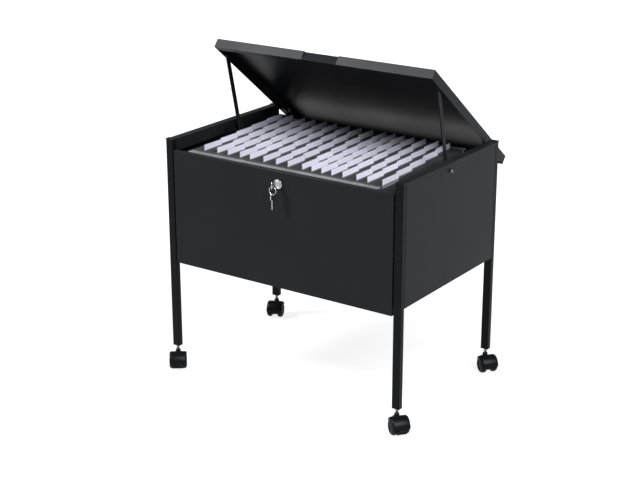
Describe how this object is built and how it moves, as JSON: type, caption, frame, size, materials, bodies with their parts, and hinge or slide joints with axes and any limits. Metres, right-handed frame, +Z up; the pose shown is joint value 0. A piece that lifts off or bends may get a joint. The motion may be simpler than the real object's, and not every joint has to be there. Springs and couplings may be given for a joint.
{
  "type": "wheeled hanging file cart",
  "caption": "Black steel hanging file cart on casters, with tabbed hanging folders inside and a lockable lid that swings up on two side stays.",
  "frame": {"origin": "floor point under the middle of the four posts", "axes": "+Z up, the lock faces -Y, +X is the viewer's right when facing the lock"},
  "size_m": [0.7029, 0.5551, 0.8002],
  "materials": {
    "black_powder_coat": "semi-gloss black powder coat",
    "black_plastic": "moulded black plastic",
    "chrome": "bright chrome",
    "zinc_steel": "zinc-plated steel",
    "folder_board": "grey manila board",
    "tab_plastic": "pale tab plastic with a blank label",
    "bar_steel": "grey coated strip"
  },
  "bodies": {
    "frame": {"left_front_post": "black_powder_coat", "left_rear_post": "black_powder_coat", "right_front_post": "black_powder_coat", "right_rear_post": "black_powder_coat", "post_caps": "black_plastic", "caster_sockets": "black_plastic", "left_top_rail": "black_powder_coat", "right_top_rail": "black_powder_coat", "left_side_panel": "black_powder_coat", "right_side_panel": "black_powder_coat", "front_panel": "black_powder_coat", "back_panel": "black_powder_coat", "panel_screws": "zinc_steel", "panel_spacers": "black_powder_coat", "base_tray": "black_powder_coat", "front_hanging_rail": "black_powder_coat", "back_hanging_rail": "black_powder_coat", "stay_brackets": "black_powder_coat", "bracket_studs": "zinc_steel", "cap_bolts": "zinc_steel", "cap_nuts": "chrome", "rivets": "black_powder_coat", "hinge_brackets": "black_powder_coat", "hinge_pins": "zinc_steel", "lock_housing": "chrome", "lock_nut": "zinc_steel", "caster_stems": "zinc_steel"},
    "right_stay": {"right_stay": "black_powder_coat"},
    "left_stay": {"left_stay": "black_powder_coat"},
    "lid": {"lid": "black_powder_coat", "lid_guide_channels": "black_powder_coat", "stay_pins": "zinc_steel"},
    "slider_blocks": {"slider_blocks": "black_plastic"},
    "files": {"file_pockets": "folder_board", "file_bars": "bar_steel", "file_tabs": "tab_plastic"},
    "lock_plug": {"lock_barrel": "chrome", "lock_cam": "zinc_steel", "cam_screw": "zinc_steel", "key_in_lock": "chrome"},
    "key_ring": {"key_ring": "chrome"},
    "spare_key": {"spare_key": "chrome"},
    "left_front_caster": {"left_front_caster_hood": "black_plastic", "left_front_axle": "zinc_steel"},
    "left_front_wheel_a": {"left_front_wheel_a": "black_plastic"},
    "left_front_wheel_b": {"left_front_wheel_b": "black_plastic"},
    "left_front_brake": {"left_front_brake_pedal": "black_plastic"},
    "right_front_caster": {"right_front_caster_hood": "black_plastic", "right_front_axle": "zinc_steel"},
    "right_front_wheel_a": {"right_front_wheel_a": "black_plastic"},
    "right_front_wheel_b": {"right_front_wheel_b": "black_plastic"},
    "right_front_brake": {"right_front_brake_pedal": "black_plastic"},
    "right_rear_caster": {"right_rear_caster_hood": "black_plastic", "right_rear_axle": "zinc_steel"},
    "right_rear_wheel_a": {"right_rear_wheel_a": "black_plastic"},
    "right_rear_wheel_b": {"right_rear_wheel_b": "black_plastic"},
    "left_rear_caster": {"left_rear_caster_hood": "black_plastic", "left_rear_axle": "zinc_steel"},
    "left_rear_wheel_a": {"left_rear_wheel_a": "black_plastic"},
    "left_rear_wheel_b": {"left_rear_wheel_b": "black_plastic"}
  },
  "joints": [
    {"name": "stay_swing", "type": "hinge", "parent": "frame", "child": "right_stay", "pos_m": [0.2955, 0.027, 0.568], "axis": [1, 0, 0], "range_deg": [0, 77]},
    {"name": "lid_tilt", "type": "hinge", "parent": "right_stay", "child": "lid", "pos_m": [0.2955, -0.01619, 0.75508], "axis": [1, 0, 0], "range_deg": [-39.5, 0.5]},
    {"name": "left_stay_swing", "type": "hinge", "parent": "frame", "child": "left_stay", "pos_m": [-0.2955, 0.027, 0.568], "axis": [1, 0, 0], "range_deg": [-0.5, 77.5]},
    {"name": "slider_block_turn", "type": "hinge", "parent": "frame", "child": "slider_blocks", "pos_m": [0.295, 0.222, 0.572], "axis": [1, 0, 0], "range_deg": [-0.5, 39]},
    {"name": "files_slide", "type": "slide", "parent": "frame", "child": "files", "axis": [1, 0, 0], "range_m": [-0.01, 0.032]},
    {"name": "lock_turn", "type": "hinge", "parent": "frame", "child": "lock_plug", "pos_m": [0, -0.215, 0.531], "axis": [0, 1, 0], "range_deg": [0, 90]},
    {"name": "ring_swing", "type": "hinge", "parent": "lock_plug", "child": "key_ring", "pos_m": [0, -0.237, 0.531], "axis": [1, 0, 0], "range_deg": [-30, 10]},
    {"name": "spare_key_swing", "type": "hinge", "parent": "key_ring", "child": "spare_key", "pos_m": [0, -0.237, 0.5103], "axis": [1, 0, 0], "range_deg": [-30, 10]},
    {"name": "left_front_swivel", "type": "hinge", "parent": "frame", "child": "left_front_caster", "pos_m": [-0.32, -0.2075, 0.044], "axis": [0, 0, 1], "continuous": true},
    {"name": "left_front_wheel_a_spin", "type": "hinge", "parent": "left_front_caster", "child": "left_front_wheel_a", "pos_m": [-0.31087, -0.2194, 0.02], "axis": [0.7934, 0.6088, 0], "continuous": true},
    {"name": "left_front_wheel_b_spin", "type": "hinge", "parent": "left_front_caster", "child": "left_front_wheel_b", "pos_m": [-0.31087, -0.2194, 0.02], "axis": [0.7934, 0.6088, 0], "continuous": true},
    {"name": "left_front_brake_press", "type": "hinge", "parent": "left_front_caster", "child": "left_front_brake", "pos_m": [-0.29732, -0.23706, 0.01608], "axis": [0.7934, 0.6088, 0], "range_deg": [0, 5]},
    {"name": "right_front_swivel", "type": "hinge", "parent": "frame", "child": "right_front_caster", "pos_m": [0.32, -0.2075, 0.044], "axis": [0, 0, 1], "continuous": true},
    {"name": "right_front_wheel_a_spin", "type": "hinge", "parent": "right_front_caster", "child": "right_front_wheel_a", "pos_m": [0.33182, -0.21674, 0.02], "axis": [0.6157, 0.788, 0], "continuous": true},
    {"name": "right_front_wheel_b_spin", "type": "hinge", "parent": "right_front_caster", "child": "right_front_wheel_b", "pos_m": [0.33182, -0.21674, 0.02], "axis": [0.6157, 0.788, 0], "continuous": true},
    {"name": "right_front_brake_press", "type": "hinge", "parent": "right_front_caster", "child": "right_front_brake", "pos_m": [0.34936, -0.23044, 0.01608], "axis": [0.6157, 0.788, 0], "range_deg": [0, 5]},
    {"name": "right_rear_swivel", "type": "hinge", "parent": "frame", "child": "right_rear_caster", "pos_m": [0.32, 0.2075, 0.044], "axis": [0, 0, 1], "continuous": true},
    {"name": "right_rear_wheel_a_spin", "type": "hinge", "parent": "right_rear_caster", "child": "right_rear_wheel_a", "pos_m": [0.33182, 0.19826, 0.02], "axis": [0.6157, 0.788, 0], "continuous": true},
    {"name": "right_rear_wheel_b_spin", "type": "hinge", "parent": "right_rear_caster", "child": "right_rear_wheel_b", "pos_m": [0.33182, 0.19826, 0.02], "axis": [0.6157, 0.788, 0], "continuous": true},
    {"name": "left_rear_swivel", "type": "hinge", "parent": "frame", "child": "left_rear_caster", "pos_m": [-0.32, 0.2075, 0.044], "axis": [0, 0, 1], "continuous": true},
    {"name": "left_rear_wheel_a_spin", "type": "hinge", "parent": "left_rear_caster", "child": "left_rear_wheel_a", "pos_m": [-0.31402, 0.19374, 0.02], "axis": [0.9171, 0.3987, 0], "continuous": true},
    {"name": "left_rear_wheel_b_spin", "type": "hinge", "parent": "left_rear_caster", "child": "left_rear_wheel_b", "pos_m": [-0.31402, 0.19374, 0.02], "axis": [0.9171, 0.3987, 0], "continuous": true}
  ],
  "couplings": [
    {"joint": "lid_tilt", "follows": "stay_swing", "ratio": -0.50247},
    {"joint": "left_stay_swing", "follows": "stay_swing", "ratio": 1},
    {"joint": "slider_block_turn", "follows": "stay_swing", "ratio": 0.49753}
  ]
}
